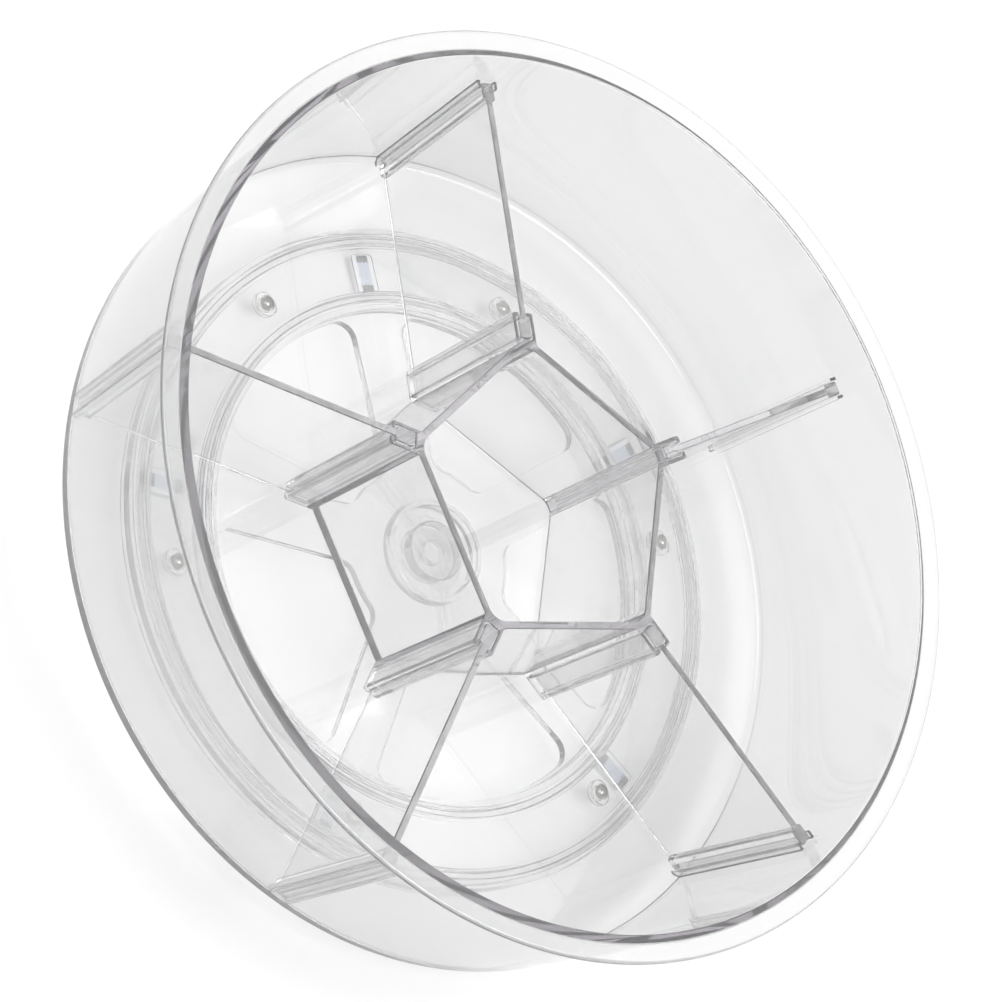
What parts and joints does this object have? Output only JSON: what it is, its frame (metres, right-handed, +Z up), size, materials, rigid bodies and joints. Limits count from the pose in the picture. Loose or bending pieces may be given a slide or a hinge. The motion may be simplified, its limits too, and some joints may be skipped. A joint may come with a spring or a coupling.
{
  "type": "tool storage caddy",
  "caption": "Clear round storage caddy with a flat rim, a five-sided centre bin and lift-out dividers, turning on steel balls over a spoked base.",
  "frame": {"origin": "on the table, under the middle of the caddy, on its turning axis", "axes": "+Z up along the turning axis; the first divider points along +Y"},
  "size_m": [0.292, 0.292, 0.0889],
  "materials": {
    "tub_clear": "water-clear, polished",
    "bin_clear": "water-clear, polished",
    "divider_clear": "water-clear, polished",
    "cap_clear": "water-clear, polished",
    "base_clear": "water-clear, polished",
    "ring_clear": "clear, slightly frosted",
    "ball_steel": "polished steel",
    "foot_pad": "soft, bluish, see-through"
  },
  "bodies": {
    "base": {"base": "base_clear", "foot_1": "foot_pad", "foot_2": "foot_pad", "foot_3": "foot_pad", "foot_4": "foot_pad", "foot_5": "foot_pad"},
    "tub": {"tub": "tub_clear", "hub_cap": "cap_clear"},
    "ball_ring": {"ball_ring": "ring_clear"},
    "ball_1": {"ball_1": "ball_steel"},
    "ball_2": {"ball_2": "ball_steel"},
    "ball_3": {"ball_3": "ball_steel"},
    "ball_4": {"ball_4": "ball_steel"},
    "ball_5": {"ball_5": "ball_steel"},
    "ball_6": {"ball_6": "ball_steel"},
    "centre_bin": {"centre_bin": "bin_clear"},
    "divider_1": {"divider_1": "divider_clear"},
    "divider_2": {"divider_2": "divider_clear"},
    "divider_3": {"divider_3": "divider_clear"},
    "divider_4": {"divider_4": "divider_clear"},
    "divider_5": {"divider_5": "divider_clear"}
  },
  "joints": [
    {"name": "tub_spin", "type": "hinge", "parent": "base", "child": "tub", "pos_m": [0, 0, 0.0127], "axis": [0, 0, 1], "continuous": true},
    {"name": "ball_ring_spin", "type": "hinge", "parent": "base", "child": "ball_ring", "pos_m": [0, 0, 0.0079], "axis": [0, 0, 1], "continuous": true},
    {"name": "ball_1_roll", "type": "hinge", "parent": "ball_ring", "child": "ball_1", "pos_m": [0.09234, 0.02474, 0.0079], "axis": [0.9659, 0.2588, 0], "continuous": true},
    {"name": "ball_2_roll", "type": "hinge", "parent": "ball_ring", "child": "ball_2", "pos_m": [0.02474, 0.09234, 0.0079], "axis": [0.2588, 0.9659, 0], "continuous": true},
    {"name": "ball_3_roll", "type": "hinge", "parent": "ball_ring", "child": "ball_3", "pos_m": [-0.0676, 0.0676, 0.0079], "axis": [-0.7071, 0.7071, 0], "continuous": true},
    {"name": "ball_4_roll", "type": "hinge", "parent": "ball_ring", "child": "ball_4", "pos_m": [-0.09234, -0.02474, 0.0079], "axis": [-0.9659, -0.2588, 0], "continuous": true},
    {"name": "ball_5_roll", "type": "hinge", "parent": "ball_ring", "child": "ball_5", "pos_m": [-0.02474, -0.09234, 0.0079], "axis": [-0.2588, -0.9659, 0], "continuous": true},
    {"name": "ball_6_roll", "type": "hinge", "parent": "ball_ring", "child": "ball_6", "pos_m": [0.0676, -0.0676, 0.0079], "axis": [0.7071, -0.7071, 0], "continuous": true},
    {"name": "bin_lift", "type": "slide", "parent": "tub", "child": "centre_bin", "axis": [0, 0, 1], "range_m": [0, 0.062]},
    {"name": "divider_1_lift", "type": "slide", "parent": "tub", "child": "divider_1", "axis": [0, 0, 1], "range_m": [0, 0.062]},
    {"name": "divider_2_lift", "type": "slide", "parent": "tub", "child": "divider_2", "axis": [0, 0, 1], "range_m": [0, 0.062]},
    {"name": "divider_3_lift", "type": "slide", "parent": "tub", "child": "divider_3", "axis": [0, 0, 1], "range_m": [0, 0.062]},
    {"name": "divider_4_lift", "type": "slide", "parent": "tub", "child": "divider_4", "axis": [0, 0, 1], "range_m": [0, 0.062]},
    {"name": "divider_5_lift", "type": "slide", "parent": "tub", "child": "divider_5", "axis": [0, 0, 1], "range_m": [0, 0.062]}
  ],
  "couplings": [
    {"joint": "ball_ring_spin", "follows": "tub_spin", "ratio": 0.5}
  ]
}
